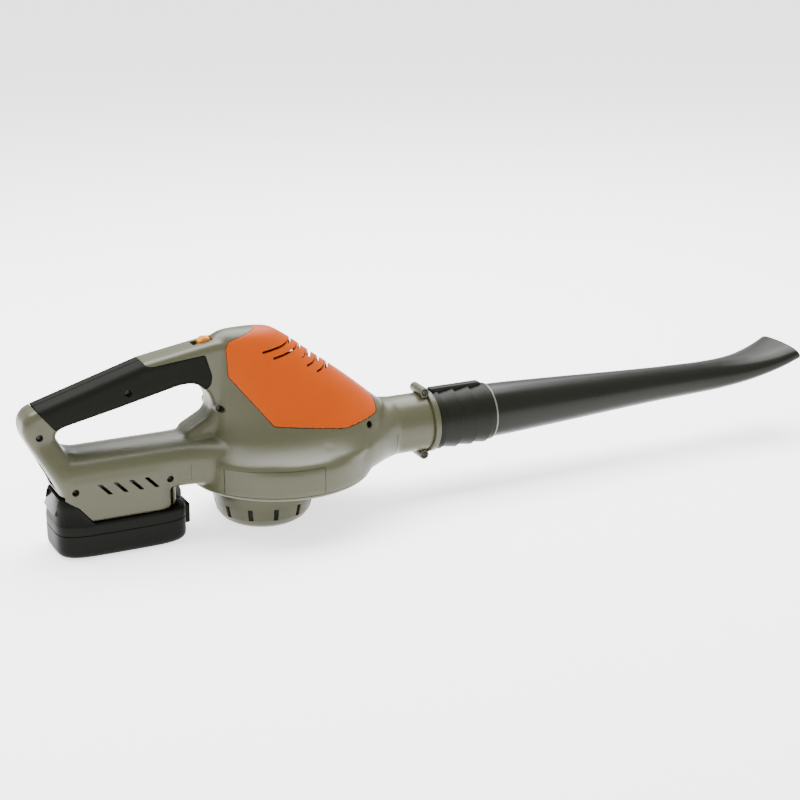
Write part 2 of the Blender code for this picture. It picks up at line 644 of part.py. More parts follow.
paint(terminal_block, BLACK, 0.5)
for name, y in (("terminal_blade_left", 8), ("terminal_blade_right", -8)):
    blade = box(name, (-132 * MM, (y - 0.4) * MM, 48 * MM), (-118.8 * MM, (y + 0.4) * MM, 53 * MM))
    paint(blade, (0.7, 0.5, 0.25), 0.3, 1.0)
control_board = box("control_board", (-170 * MM, -20 * MM, 84 * MM), (-114 * MM, 20 * MM, 85.6 * MM))
paint(control_board, (0.02, 0.12, 0.05), 0.5)

LEADS = {
    "power_lead": ((-116.5, 0, 56.4), (-116.5, 0, 72), (-122, 0, 78), (-122, 0, 83.6)),
    "switch_lead": ((-113.6, 0, 84.8), (-80, 0, 86), (-50, 0, 92), (-40, 0, 104), (-40, 0, 148),
                    (-48, 0, 154), (-55, 0, 159.4)),
    "motor_lead": ((-113.6, 12, 84.8), (-80, 13, 86), (-50, 13, 90), (-37, 13, 104), (-33, 12, 148),
                   (-22, 12, 153), (-13, 12, 149), (-13, 12, 142.1)),
}
for name, route in LEADS.items():
    lead = tube(name, [tuple(c * MM for c in p) for p in route], 1.4 * MM)
    paint(lead, (0.35, 0.02, 0.015) if name == "power_lead" else (0.02, 0.02, 0.02), 0.5)

for screw_name in SCREWS:
    paint(settle(screw_piece(screw_name)), (0.08, 0.08, 0.08), 0.35, 0.9)

# ---- battery ---------------------------------------------------------------------------------------------------

BATTERY_MID = (BATTERY_REAR + BATTERY_FRONT) / 2
BATTERY_LENGTH = BATTERY_FRONT - BATTERY_REAR
BATTERY_SPLIT = 24 * MM


def pack_ring(z, inset):
    return oval((BATTERY_MID, 0, z), BATTERY_LENGTH / 2 - inset, BATTERY_HALF - inset, "XY", 4.5, 36)


def pack_form(name, levels, helper=False):
    return loft(name, [pack_ring(z * MM, inset * MM) for z, inset in levels], helper)


lower_case = pack_form("battery_case_lower", ((0, 6.5), (1.6, 2.8), (5, 0.5), (9, 0),
                                              (BATTERY_SPLIT / MM - 0.15, 0)))
cut(lower_case, pack_form("lower_hollow", ((2.6, 4.2), (6, 2.6), (30, 2.4)), True))
paint(settle(lower_case), BLACK, 0.5)

upper_case = pack_form("battery_case_upper", ((BATTERY_SPLIT / MM + 0.15, 0), (33.5, 0.2), (35.4, 1.6)))
SHOULDER = mm(((-186.6, 33), (-199.9, 51.4), (-210, 58), (-214.6, 58.4), (-220, 46), (-222, 33)))
shoulder = plate("shoulder", SHOULDER, -0.05, 0.05, helper=True)
keep(shoulder, pack_form("shoulder_limit", ((30, 0.3), (50, 0.8), (62, 2.4)), True))
join(upper_case, shoulder,
     box("rail_stem", (-203 * MM, -18.9 * MM, 34 * MM), (-119.9 * MM, 18.9 * MM, 48 * MM), True),
     box("rail_head", (-202.4 * MM, -23.9 * MM, 47.6 * MM), (-120.3 * MM, 23.9 * MM, 54.6 * MM), True),
     box("front_block", (-93 * MM, -12 * MM, 15 * MM), (-82 * MM, 12 * MM, 31 * MM), True, 2 * MM))
FACE_TOP = (-213.2, 57.6)
FACE_LOW = (-220.4, 43.4)
PRESS = (0.8915, -0.453)      # across the slanted face, into the pack


def press_in(point, depth):
    return (point[0] + PRESS[0] * depth, point[1] + PRESS[1] * depth)


button_pocket = plate("button_pocket", mm((press_in(FACE_TOP, -8), press_in(FACE_TOP, 7),
                                           press_in(FACE_LOW, 7), press_in(FACE_LOW, -8))),
                      -19.5 * MM, 19.5 * MM, helper=True)
cut(upper_case, button_pocket,
    pack_form("upper_hollow", ((20, 2.4), (32.6, 2.6)), True),
    box("blade_slot_left", (-136 * MM, 6.6 * MM, 45 * MM), (-110 * MM, 9.4 * MM, 60 * MM), True),
    box("blade_slot_right", (-136 * MM, -9.4 * MM, 45 * MM), (-110 * MM, -6.6 * MM, 60 * MM), True),
    box("block_relief", (-96 * MM, -20 * MM, 10 * MM), (-70 * MM, 20 * MM, 24.15 * MM), True))
paint(settle(upper_case), BLACK, 0.5)

button = plate("battery_button", mm((press_in(FACE_TOP, 0.4), press_in(FACE_TOP, 4.2),
                                     press_in(FACE_LOW, 4.2), press_in(FACE_LOW, 0.4))),
               -19.1 * MM, 19.1 * MM)
paint(button, (0.01, 0.01, 0.01), 0.15)

CELL_PITCH = 18.25 * MM
for k in range(5):
    cell = rod("cell_%d" % (k + 1), (BATTERY_MID + (k - 2) * CELL_PITCH, -32.2 * MM, 13.1 * MM), "Y",
               9.0 * MM, 64.4 * MM, 20)
    paint(cell, (0.05, 0.22, 0.35), 0.4)
battery_board = box("battery_board", (-185 * MM, -24 * MM, 25.2 * MM), (-125 * MM, 24 * MM, 26.8 * MM))
paint(battery_board, (0.02, 0.12, 0.05), 0.5)
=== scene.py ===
"""Cordless leaf blower: the look of every piece, put together in the order it is built."""
import math

import bmesh
import bpy
from mathutils import Matrix, Vector


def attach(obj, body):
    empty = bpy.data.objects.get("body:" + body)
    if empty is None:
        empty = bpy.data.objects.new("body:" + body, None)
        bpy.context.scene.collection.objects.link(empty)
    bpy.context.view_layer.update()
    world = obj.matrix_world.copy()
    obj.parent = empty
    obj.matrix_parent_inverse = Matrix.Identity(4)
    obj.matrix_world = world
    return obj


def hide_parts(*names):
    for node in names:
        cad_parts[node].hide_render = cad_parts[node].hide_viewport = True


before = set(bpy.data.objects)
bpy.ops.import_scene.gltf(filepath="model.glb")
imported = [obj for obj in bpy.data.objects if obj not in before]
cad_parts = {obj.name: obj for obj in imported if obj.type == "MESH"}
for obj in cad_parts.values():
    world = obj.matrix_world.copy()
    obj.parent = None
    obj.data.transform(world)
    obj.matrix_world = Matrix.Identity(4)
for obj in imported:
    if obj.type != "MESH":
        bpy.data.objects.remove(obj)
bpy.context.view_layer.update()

# ==== Studio ==========================================================================================
# A pale sheet on a light table, one wide soft box overhead and a little behind, a weaker one
# in front and one on the far side.
# The camera stands low on the screw-head side, behind the battery end, and looks along the tube.

bpy.ops.object.select_all(action="DESELECT")
bpy.ops.mesh.primitive_circle_add(vertices=96, radius=9.0, fill_type="NGON",
                                  location=(0, 0, -0.0004))
floor = bpy.context.object
floor.name = "studio_floor"
paper = bpy.data.materials.new("paper_sheet")
paper.use_nodes = True
nodes, links = paper.node_tree.nodes, paper.node_tree.links
shader = nodes["Principled BSDF"]
shader.inputs["Roughness"].default_value = 0.85
shader.inputs["Emission Color"].default_value = (1.0, 1.0, 1.0, 1.0)
shader.inputs["Emission Strength"].default_value = 1.7
place = nodes.new("ShaderNodeTexCoord")
fibre = nodes.new("ShaderNodeTexNoise")
fibre.inputs["Scale"].default_value = 40.0
tone = nodes.new("ShaderNodeMapRange")
tone.inputs["To Min"].default_value = 0.90
tone.inputs["To Max"].default_value = 0.93
links.new(place.outputs["Object"], fibre.inputs["Vector"])
links.new(fibre.outputs["Fac"], tone.inputs["Value"])
links.new(tone.outputs["Result"], shader.inputs["Base Color"])
floor.data.materials.append(paper)

world = bpy.data.worlds.new("studio_air")
world.use_nodes = True
world.node_tree.nodes["Background"].inputs["Color"].default_value = (0.95, 0.97, 1.0, 1.0)
world.node_tree.nodes["Background"].inputs["Strength"].default_value = 1.1
bpy.context.scene.world = world


def soft_box(name, spot, aim, width, height, power):
    """A rectangular area light at a spot, turned to face a point."""
    lamp = bpy.data.lights.new(name, "AREA")
    lamp.shape = "RECTANGLE"
    lamp.size = width
    lamp.size_y = height
    lamp.energy = power
    holder = bpy.data.objects.new(name, lamp)
    bpy.context.scene.collection.objects.link(holder)
    holder.location = spot
    holder.rotation_euler = (Vector(aim) - Vector(spot)).to_track_quat("-Z", "Y").to_euler()


soft_box("overhead", (0.1, 0.55, 1.7), (0.1, 0.0, 0.1), 2.6, 1.4, 130.0)
soft_box("front_fill", (-1.3, -1.9, 0.9), (0.0, 0.0, 0.1), 1.6, 1.2, 3.0)
soft_box("far_rim", (1.0, 1.6, 1.5), (0.1, 0.0, 0.1), 1.4, 0.9, 14.0)

lens = bpy.data.cameras.new("camera")
lens.lens = 80.7
lens.sensor_width = 36.0
lens.clip_start = 0.05
lens.clip_end = 40.0
camera = bpy.data.objects.new("camera", lens)
bpy.context.scene.collection.objects.link(camera)
camera.matrix_world = Matrix(((0.9002, 0.1358, -0.4138, -0.6136),
                              (-0.4355, 0.2807, -0.8553, -1.5860),
                              (0.0, 0.9501, 0.3118, 0.6783),
                              (0, 0, 0, 1)))
bpy.context.scene.camera = camera

# ==== Housing shell ===================================================================================
# Two mirrored mouldings in olive-grey nylon, 2.8 mm thick, screwed together along the centre plane.
# The forms are joined in one block, softened so that every meeting has a fillet, then hollowed
# and split.

MM = 0.001
SHELL_WALL = 2.8
SHELL_VOXEL = 1.35
SOFTENING = 34
SEAM_DEPTH = 0.6
POST_RADIUS = 5.3
HEAD_WELL_RADIUS = 3.5
SHANK_RADIUS = 1.9
NECK_BORE = 27.5
SMOOTH_ANGLE = 32
PART_GAP = 0.15
TUBE_HEIGHT = 74.0
FAN_CASE_X = 18.0


def alone(piece):
    """Make one piece the only selected and the active one."""
    if bpy.context.object and bpy.context.object.mode != "OBJECT":
        bpy.ops.object.mode_set(mode="OBJECT")
    bpy.ops.object.select_all(action="DESELECT")
    piece.select_set(True)
    bpy.context.view_layer.objects.active = piece
    return piece


def worked(piece, kind, **settings):
    """Add one modifier with its settings and apply it."""
    alone(piece)
    modifier = piece.modifiers.new(kind.title(), kind)
    for key, value in settings.items():
        setattr(modifier, key, value)
    bpy.ops.object.modifier_apply(modifier=modifier.name)
    return piece


def edged(piece, width, segments=3, sharpest=50):
    """Round every edge sharper than an angle in degrees, by a width in millimetres."""
    return worked(piece, "BEVEL", width=width * MM, segments=segments, limit_method="ANGLE",
                  angle_limit=math.radians(sharpest))


def carved(piece, *tools, how="DIFFERENCE", spare=False):
    """Cut tools out of a piece, or add or intersect them; the tools are used up unless spared."""
    for tool in tools:
        worked(piece, "BOOLEAN", object=tool, operation=how, solver="MANIFOLD")
        if not spare:
            bpy.data.objects.remove(tool, do_unlink=True)
    return piece


def twin(piece, name):
    """A copy with its own mesh."""
    copy = piece.copy()
    copy.data = piece.data.copy()
    copy.name = name
    bpy.context.scene.collection.objects.link(copy)
    return copy


def drawn_through(name, rings):
    """A solid drawn through a row of rings in millimetres: a disc extruded from each to the next."""
    bpy.ops.object.select_all(action="DESELECT")
    bpy.ops.mesh.primitive_circle_add(vertices=len(rings[0]), radius=1.0, fill_type="NGON")
    piece = bpy.context.object
    piece.name = name
    bpy.ops.object.mode_set(mode="EDIT")
    corners = list(bmesh.from_edit_mesh(piece.data).verts)
    for row, ring in enumerate(rings):
        if row:
            spots = {tuple(vert.co): k for k, vert in enumerate(corners)}
            bpy.ops.mesh.extrude_region_move()
            fresh = [vert for vert in bmesh.from_edit_mesh(piece.data).verts if vert.select]
            corners = sorted(fresh, key=lambda vert: spots[tuple(vert.co)])
        for vert, point in zip(corners, ring):
            vert.co = Vector(point) * MM
    bmesh.update_edit_mesh(piece.data)
    bpy.ops.mesh.select_all(action="SELECT")
    bpy.ops.mesh.normals_make_consistent(inside=False)
    bpy.ops.object.mode_set(mode="OBJECT")
    return piece


def cut_sheet(name, outline, low, high, plane="XZ"):
    """A flat outline in millimetres, extruded between two depths across its plane."""
    if plane == "XZ":
        rings = [[(u, depth, v) for u, v in outline] for depth in (low, high)]
    else:
        rings = [[(u, v, depth) for u, v in outline] for depth in (low, high)]
    return drawn_through(name, rings)


def block(name, low, high):
    """A square block between two corners in millimetres."""
    (x0, y0, z0), (x1, y1, z1) = low, high
    return cut_sheet(name, ((x0, z0), (x1, z0), (x1, z1), (x0, z1)), y0, y1)


def bar_stock(name, start, axis, radius, length, sides=64):
    """A round bar in millimetres from a start point along X, Y or Z."""
    x, y, z = start
    half = length / 2
    centre = {"X": (x + half, y, z), "Y": (x, y + half, z), "Z": (x, y, z + half)}[axis]
    turn = {"X": (0, math.pi / 2, 0), "Y": (math.pi / 2, 0, 0), "Z": (0, 0, 0)}[axis]
    bpy.ops.object.select_all(action="DESELECT")
    bpy.ops.mesh.primitive_cylinder_add(vertices=sides, radius=radius * MM, depth=length * MM,
                                        location=[c * MM for c in centre], rotation=turn)
    bpy.ops.object.transform_apply(location=True, rotation=True, scale=True)
    bpy.context.object.name = name
    return bpy.context.object


def turned(name, profile, centre=(0, 0), steps=128, axis="Z", height=0.0):
    """A closed profile of (radius, height) in millimetres, spun about a vertical or lengthwise axis."""
    bpy.ops.object.select_all(action="DESELECT")
    bpy.ops.mesh.primitive_circle_add(vertices=len(profile), radius=1.0, fill_type="NOTHING")
    piece = bpy.context.object
    piece.name = name
    bpy.ops.object.mode_set(mode="EDIT")
    for vert, (radius, rise) in zip(bmesh.from_edit_mesh(piece.data).verts, profile):
        vert.co = Vector((radius, 0, rise)) * MM
    bpy.ops.mesh.select_all(action="SELECT")
    bpy.ops.mesh.spin(steps=steps, angle=2 * math.pi, center=(0, 0, 0), axis=(0, 0, 1))
    bpy.ops.mesh.select_all(action="SELECT")
    bpy.ops.mesh.remove_doubles(threshold=0.00001)
    mesh = bmesh.from_edit_mesh(piece.data)
    bmesh.ops.dissolve_degenerate(mesh, dist=1e-6, edges=mesh.edges[:])
    loose = [edge for edge in mesh.edges if not edge.link_faces]
    bmesh.ops.delete(mesh, geom=loose, context="EDGES")
    bmesh.update_edit_mesh(piece.data)
    bpy.ops.mesh.normals_make_consistent(inside=False)
    bpy.ops.object.mode_set(mode="OBJECT")
    if axis == "X":
        piece.rotation_euler = (0, math.pi / 2, 0)
    piece.location = (centre[0] * MM, centre[1] * MM, height * MM)
    alone(piece)
    bpy.ops.object.transform_apply(location=True, rotation=True, scale=True)
    return piece


def rounded(outline, radius, arcs=5):
    """The same closed outline with each corner turned into a short curve."""
    smooth = []
    for k, (u, v) in enumerate(outline):
        here = Vector((u, v))
        before = Vector(outline[k - 1]) - here
        after = Vector(outline[(k + 1) % len(outline)]) - here
        reach = min(radius, before.length * 0.45, after.length * 0.45)
        first, last = here + before.normalized() * reach, here + after.normalized() * reach
        for step in range(arcs + 1):
            t = step / arcs
            smooth.append(tuple(first * (1 - t) ** 2 + here * 2 * t * (1 - t) + last * t * t))
    return smooth


def faired(stations, between=4):
    """Extra stations between the given ones, on a smooth curve that never overshoots them."""
    keys = [row[0] for row in stations]
    columns = list(zip(*stations))[1:]
    slopes = []
    for column in columns:
        steep = [(b - a) / (q - p) for a, b, p, q in zip(column, column[1:], keys, keys[1:])]
        inner = [0.0 if s * t <= 0 else 2 * s * t / (s + t) for s, t in zip(steep, steep[1:])]
        slopes.append([steep[0]] + inner + [steep[-1]])
    rows = []
    for k in range(len(keys) - 1):
        width = keys[k + 1] - keys[k]
        for step in range(between):
            t = step / between
            row = [keys[k] + width * t]
            for column, slope in zip(columns, slopes):
                row.append((2 * t ** 3 - 3 * t ** 2 + 1) * column[k] + (t ** 3 - 2 * t ** 2 + t) * width
                           * slope[k] + (3 * t ** 2 - 2 * t ** 3) * column[k + 1]
                           + (t ** 3 - t ** 2) * width * slope[k + 1])
            rows.append(row)
    return rows + [list(stations[-1])]


def squarish(half_a, half_b, power, count=96):
    """Points of an oval between an ellipse (power 2) and a rounded rectangle (power 5)."""
    points = []
    for k in range(count):
        angle = 2 * math.pi * (k + 0.5) / count
        c, s = math.cos(angle), math.sin(angle)
        points.append((half_a * math.copysign(abs(c) ** (2 / power), c),
                       half_b * math.copysign(abs(s) ** (2 / power), s)))
    return points


def level_rings(stations, power, count=96):
    """Level ovals from rows of height, rear x, front x and half width."""
    return [[((rear + front) / 2 + a, b, z) for a, b in squarish((front - rear) / 2, half, power, count)]
            for z, rear, front, half in stations]


def moulded(name, colour, roughness, grain=0.00004, grain_size=0.0006, mottle=0.06, coat=0.0, metal=0.0,
             shine=0.5):
    """A procedural finish: fine moulded grain, and cloudy tone and gloss."""
    finish = bpy.data.materials.new(name)
    finish.use_nodes = True
    nodes, links = finish.node_tree.nodes, finish.node_tree.links
    shader = nodes["Principled BSDF"]
    shader.inputs["Metallic"].default_value = metal
    shader.inputs["Coat Weight"].default_value = coat
    shader.inputs["Specular IOR Level"].default_value = shine
    shader.inputs["Coat Roughness"].default_value = 0.12
    place = nodes.new("ShaderNodeTexCoord")
    cloud = nodes.new("ShaderNodeTexNoise")
    cloud.inputs["Scale"].default_value = 28.0
    cloud.inputs["Detail"].default_value = 4.0
    links.new(place.outputs["Object"], cloud.inputs["Vector"])
    speckle = nodes.new("ShaderNodeTexNoise")
    speckle.inputs["Scale"].default_value = 0.5 / grain_size
    speckle.inputs["Detail"].default_value = 2.0
    links.new(place.outputs["Object"], speckle.inputs["Vector"])
    tint = nodes.new("ShaderNodeMix")
    tint.data_type = "RGBA"
    tint.inputs["A"].default_value = (*[c * (1 - mottle) for c in colour], 1)
    tint.inputs["B"].default_value = (*[min(1.0, c * (1 + mottle)) for c in colour], 1)
    links.new(cloud.outputs["Fac"], tint.inputs["Factor"])
    fleck = nodes.new("ShaderNodeMix")
    fleck.data_type = "RGBA"
    fleck.blend_type = "MULTIPLY"
    fleck.inputs["Factor"].default_value = 0.25
    links.new(tint.outputs["Result"], fleck.inputs["A"])
    shade = nodes.new("ShaderNodeMapRange")
    shade.inputs["From Min"].default_value = 0.3
    shade.inputs["From Max"].default_value = 0.7
    shade.inputs["To Min"].default_value = 0.8
    shade.inputs["To Max"].default_value = 1.15
    links.new(speckle.outputs["Fac"], shade.inputs["Value"])
    links.new(shade.outputs["Result"], fleck.inputs["B"])
    links.new(fleck.outputs["Result"], shader.inputs["Base Color"])
    gloss = nodes.new("ShaderNodeMapRange")
    gloss.inputs["To Min"].default_value = roughness - 0.07
    gloss.inputs["To Max"].default_value = roughness + 0.07
    links.new(cloud.outputs["Fac"], gloss.inputs["Value"])
    links.new(gloss.outputs["Result"], shader.inputs["Roughness"])
    relief = nodes.new("ShaderNodeBump")
    relief.inputs["Strength"].default_value = 0.6
    relief.inputs["Distance"].default_value = grain
    links.new(speckle.outputs["Fac"], relief.inputs["Height"])
    links.new(relief.outputs["Normal"], shader.inputs["Normal"])
    return finish


def fitted(piece, body, slot, finish, *stands_for):
    """Finish a piece: shade it, give it its material, and fix it to its body of the frame."""
    alone(piece)
    bpy.ops.object.shade_smooth_by_angle(angle=math.radians(SMOOTH_ANGLE))
    piece.data.materials.clear()
    piece.data.materials.append(finish)
    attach(piece, body)
    if stands_for:
        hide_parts(*stands_for)
    return piece


BODY_LEVELS = (
    (66, -70, 104, 82), (77, -72, 110, 89), (80.5, -71, 112, 87), (85, -68, 117, 79),
    (91, -65, 124, 70), (98, -61, 128, 62.5), (107, -58, 127, 57), (114, -57, 119, 53.5),
    (137, -55, 92, 45), (153, -54, 71.5, 38.5), (170, -54, 49, 31), (185, -54, 30, 23.5),
    (193, -51, 18.5, 18), (198, -44, 9, 11), (199.6, -36, 0, 6),
)
THROAT_STATIONS = (
    (40, 84, 33, 71.5), (85, 70, 33, 71.5), (108, 54, 32.5, 72.5), (125, 40.5, 31.5, 73.5),
    (140, 30.8, 30.6, 74),
)
FAN_CASE_PROFILE = ((81, 83), (89, 81), (93.6, 76), (94.4, 71), (94.4, 51), (92, 47), (87, 44),
                    (57, 41), (0.0, 41.0), (0.0, 83.0))
LOOP_OUTLINE = (
    (-206, 58), (-215, 68), (-241.5, 120), (-244, 129), (-242.5, 138), (-237, 145), (-229, 148.5),
    (-123, 180.5), (-73, 189), (-52, 192.4), (-34, 192.4), (-34, 72), (-84, 72), (-84, 105.5),
    (-60.5, 118), (-56.6, 124), (-56, 131), (-58.5, 139), (-64, 146.5), (-70, 151),
    (-77.5, 153.2), (-89, 152.6), (-152, 138.2), (-205, 127), (-210.5, 124), (-213.3, 118.5),
    (-212.5, 112), (-206, 105), (-190, 100), (-190, 58),
)
BAR_SECTION = ((0, 102.5), (9, 101.6), (18, 98.8), (26, 95), (31, 90.5), (33.2, 84), (33.2, 64),
               (30, 57.5), (24, 55), (0, 55))
STRUT_LEVELS = ((62, -213, -186, 32), (75, -218.5, -188, 32), (88, -225, -196, 29),
                (98, -230, -201, 25.5), (108, -235, -206, 21.5), (119, -239, -212, 18))
DOCK_HALF = 34.0
dock_plan = [(-214, -22), (-212, -30), (-204, -DOCK_HALF)]
dock_plan += [(-120.7 + 24 * math.sin(a), -10 - 24 * math.cos(a))
              for a in (math.radians(7.5 * k) for k in range(13))]
dock_plan += [(x, -y) for x, y in reversed(dock_plan)]


def handle_loop(name, inset):
    """The looped handle: a flat curve extruded across, with its rims rounded to fit the hand."""
    line = bpy.data.curves.new(name, "CURVE")
    line.dimensions = "2D"
    line.fill_mode = "BOTH"
    spline = line.splines.new("POLY")
    spline.points.add(len(LOOP_OUTLINE) - 1)
    for point, (u, v) in zip(spline.points, LOOP_OUTLINE):
        point.co = (u * MM, v * MM, 0, 1)
    spline.use_cyclic_u = True
    line.extrude = (19.0 - inset - 8.0) * MM
    line.bevel_depth = 8.0 * MM
    line.offset = -(8.0 + inset) * MM
    line.bevel_resolution = 5
    piece = bpy.data.objects.new(name, line)
    bpy.context.scene.collection.objects.link(piece)
    piece.rotation_euler = (math.pi / 2, 0, 0)
    alone(piece)
    bpy.ops.object.convert(target="MESH")
    bpy.ops.object.transform_apply(location=True, rotation=True, scale=True)
    bpy.ops.object.mode_set(mode="EDIT")
    bpy.ops.mesh.select_all(action="SELECT")
    bpy.ops.mesh.remove_doubles(threshold=0.00001)
    bpy.ops.mesh.normals_make_consistent(inside=False)
    bpy.ops.object.mode_set(mode="OBJECT")
    return piece


def bar_length(rear, front):
    """The lower bar, one cross section drawn forward and flared where it meets the fan case."""
    ring = list(BAR_SECTION) + [(-y, z) for y, z in reversed(BAR_SECTION[1:-1])]
    ring = rounded(ring, 3.0, 3)
    flare = ((rear, 1.0), (-100, 1.0), (-84, 1.06), (-70, 1.18), (-58, 1.34), (front, 1.5))
    return drawn_through("bar", [[(x, y * wide, z) for y, z in ring] for x, wide in flare])


forms = [
    turned("fan_case", rounded(FAN_CASE_PROFILE, 1.5, 3), (FAN_CASE_X, 0)),
    drawn_through("upper_body", level_rings(faired(BODY_LEVELS), 2.4)),
    drawn_through("throat", [[(x, a, zc + b) for a, b in squarish(half, tall, 2.2)]
                             for x, half, tall, zc in faired(THROAT_STATIONS)]),
    bar_stock("neck", (60, 0, TUBE_HEIGHT), "X", 30.5, 121),
    handle_loop("loop", 0.0),
    bar_length(-209, -40),
    drawn_through("strut", level_rings(faired(STRUT_LEVELS), 4.5)),
    cut_sheet("dock", dock_plan, 36, 78, "XY"),
]
housing = forms[0]
alone(housing)
for form in forms[1:]:
    form.select_set(True)
bpy.ops.object.join()
housing.name = "housing_block"
worked(housing, "REMESH", mode="VOXEL", voxel_size=SHELL_VOXEL * MM)
worked(housing, "SMOOTH", factor=0.5, iterations=SOFTENING)
DOCK_SLOPE = ((-230, 30), (-185.5, 30), (-185.5, 36.2), (-199, 52.5), (-211.5, 60.5), (-230, 66))
carved(housing, cut_sheet("dock_slope", DOCK_SLOPE, -60, 60),
       block("dock_level", (-230, -60, 20), (-90, 60, 36.0)))


def shrunk(piece, name, depth, voxel=0.0):
    """A copy pulled inwards by a depth in millimetres, remeshed if a voxel is given."""
    copy = worked(twin(piece, name), "DISPLACE", strength=-depth * MM, mid_level=0.0)
    return worked(copy, "REMESH", mode="VOXEL", voxel_size=voxel * MM) if voxel else copy


def grown(outline, amount):
    """The outline moved outward from its own centre by a small amount."""
    u0 = sum(u for u, v in outline) / len(outline)
    v0 = sum(v for u, v in outline) / len(outline)
    return [(u + (u - u0) / math.hypot(u - u0, v - v0) * amount,
             v + (v - v0) / math.hypot(u - u0, v - v0) * amount) for u, v in outline]


OLIVE = (0.054, 0.053, 0.026)
nylon = moulded("olive_nylon", OLIVE, 0.34, grain=0.00003, grain_size=0.0005, mottle=0.035,
                shine=0.34)

COVER_OUTLINE = rounded(((-5, 215), (-6, 199.6), (-37.5, 191.5), (-42, 186.5), (-42.6, 158.5),
                         (-6.5, 110.6), (62, 101.0), (71, 100.8), (107.5, 105.8), (111, 112.5),
                         (115, 130), (60, 215)), 1.6, 4)
GRIP_OUTLINE = rounded(((-233, 152), (-211.5, 125), (-190, 120), (-75, 140), (-64.5, 143.5),
                        (-58.5, 151), (-57, 160), (-63.5, 182), (-118, 176.3), (-123, 178),
                        (-125.5, 195)), 2.5, 4)
HANDLE_DUCT = ((-224, 66), (-229, 100), (-236, 128), (-231, 139), (-120, 170), (-70, 180),
               (-44, 180), (-44, 100), (-52, 100), (-49, 131), (-56, 151), (-78, 160), (-152, 147),
               (-216, 133), (-221, 120), (-214, 100), (-200, 90), (-200, 66))
# x, z, distance of the head's seat from the centre plane, half length of its post
SCREW_PLACES = {
    "screw_handle_rear": (-229, 122.5, 13.5, 16.5), "screw_grip": (-141, 154, 12.5, 14.5),
    "screw_front_strut": (-50.5, 126.5, 16.0, 18.5), "screw_dock_rear": (-201.6, 68.4, 27.0, 32.4),
    "screw_dock_front": (-108, 67, 27.0, 32.0), "screw_body_front": (94.7, 97.9, 33.0, 48.0),
    "screw_lug_top": (176, 108.3, 10.5, 0), "screw_lug_low": (176, 40.6, 10.5, 0),
}

hollow = shrunk(housing, "hollow", SHELL_WALL, 2.2)
carved(hollow, block("keep_handle", (-260, -60, 104), (-58, 60, 240)),
       block("keep_strut", (-260, -60, 66), (-200, 60, 240)))
carved(hollow, cut_sheet("duct", HANDLE_DUCT, -11, 11),
       bar_stock("neck_bore", (60, 0, TUBE_HEIGHT), "X", NECK_BORE, 140, 96),
       bar_stock("intake_mouth", (0, 0, 30), "Z", 52.3, 30, 96),
       block("dock_well", (-240, -30, 20), (-104, 30, 64)), how="UNION")
grip_core = shrunk(housing, "grip_core", 2.6, 1.5)
grip_lining = shrunk(housing, "grip_lining", 2.3, 1.5)
cover_blank = carved(twin(housing, "cover_blank"),
                     cut_sheet("cover_edge", COVER_OUTLINE, -110, 110), how="INTERSECT")
grip_blank = carved(twin(housing, "grip_blank"), cut_sheet("grip_edge", GRIP_OUTLINE, -50, 50),
                    how="INTERSECT")

# The moulded seams: a shallow groove round the fan case with short uprights, and one each on
# the bar and the neck.
seam_bed = shrunk(housing, "seam_bed", SEAM_DEPTH)
seams = bar_stock("low_seam", (FAN_CASE_X, 0, 49.2), "Z", 100, 0.7, 96)
carved(seams, block("seam_front", (132, -60, 40), (200, 60, 60)),
       block("seam_rear", (-120, -60, 40), (-75, 60, 60)))
for low, high in (((-60, -110, 76.2), (29, -40, 76.8)), ((-60.4, -70, 49.5), (-59.8, -36, 76.5)),
                  ((28.4, -105, 49.5), (29.0, -75, 76.5)), ((-87.3, -50, 64), (-86.7, -20, 79)),
                  ((134.7, -45, 53), (135.3, -14, 76))):
    carved(seams, block("seam", low, high), how="UNION")
    carved(seams, block("seam", (low[0], -high[1], low[2]), (high[0], -low[1], high[2])),
           how="UNION")
carved(seams, seam_bed)
carved(housing, seams)

# The flange at the neck's end and its two screw lugs keep crisp edges, so they join after the
# softening.
FLANGE_PROFILE = ((26, 179.5), (33, 180), (33, 186), (26, 186))
flange = turned("flange", rounded(FLANGE_PROFILE, 0.8, 3), axis="X", height=TUBE_HEIGHT)
carved(housing, flange, how="UNION")
for height in (108.3, 40.6):
    lug = bar_stock("lug", (176, -13, height), "Y", 5.0, 26, 40)
    edged(lug, 0.7)
    inward = 1 if height < TUBE_HEIGHT else -1
    low, high = sorted((height, height + inward * 8))
    carved(housing, lug, block("lug_web", (173.5, -11, low), (180.5, 11, high)), how="UNION")

carved(housing, hollow, spare=True)
for place_x, place_z, seat, reach in SCREW_PLACES.values():
    if reach:
        post = bar_stock("post", (place_x, -reach, place_z), "Y", POST_RADIUS, 2 * reach, 32)
        carved(housing, post, how="UNION")
carved(housing, cut_sheet("cover_window", grown(COVER_OUTLINE, 0.4), -120, 120))
grip_recess = carved(cut_sheet("grip_recess", grown(GRIP_OUTLINE, 0.35), -50, 50), grip_core)
carved(housing, grip_recess, block("switch_hole", (-70.6, -6, 170), (-50.5, 6, 210)),
       bar_stock("neck_bore", (60, 0, TUBE_HEIGHT), "X", NECK_BORE, 140, 96))
VENT_COUNT, VENT_STEP = 4, 15.4
for k in range(VENT_COUNT):
    slot_line = [(x + VENT_STEP * k, z)
                 for x, z in ((-180.6, 73.0), (-176.2, 73.0), (-165.2, 61.5), (-169.6, 61.5))]
    carved(housing, cut_sheet("vent", rounded(slot_line, 1.0, 3), -50, 50))
